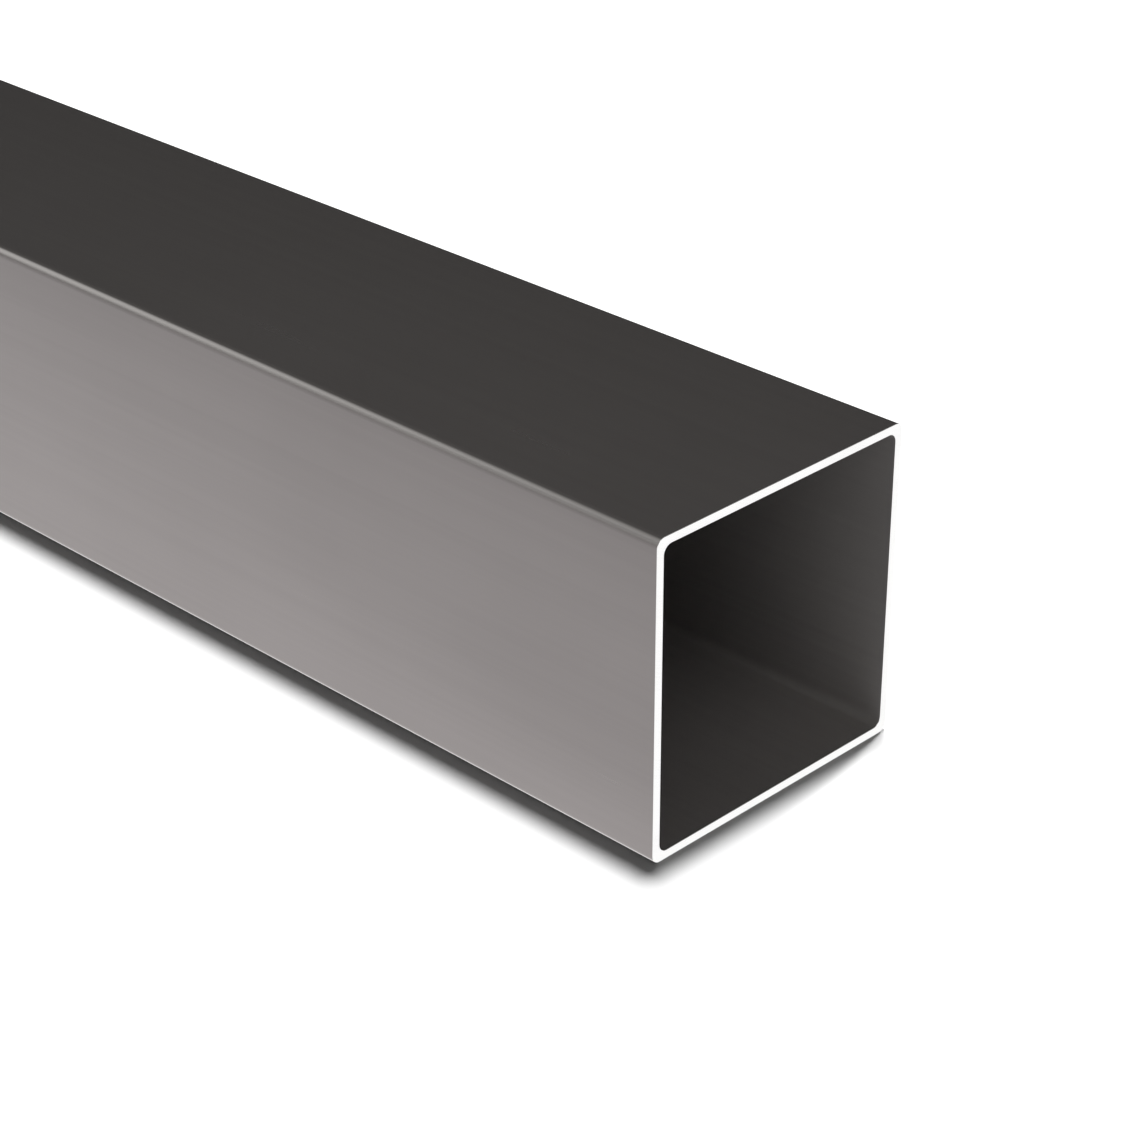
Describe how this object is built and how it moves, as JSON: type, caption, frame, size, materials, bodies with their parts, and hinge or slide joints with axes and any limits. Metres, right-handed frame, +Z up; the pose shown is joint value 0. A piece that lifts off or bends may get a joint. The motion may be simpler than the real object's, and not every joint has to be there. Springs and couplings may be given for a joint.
{
  "type": "square metal tube",
  "caption": "Length of thin-walled square metal tube with small rounded corners and open, deburred saw-cut ends, for framing and fabrication.",
  "frame": {"origin": "middle of the underside, halfway between the two cut ends", "axes": "+X along the tube, +Y across it, +Z up out of the top side"},
  "size_m": [1, 0.075, 0.075],
  "materials": {
    "mill_steel": "satin warm-grey mill finish with fine lines along the length, bright bare metal on the saw-cut rims"
  },
  "bodies": {
    "root": {"square_tube": "mill_steel"}
  },
  "joints": []
}
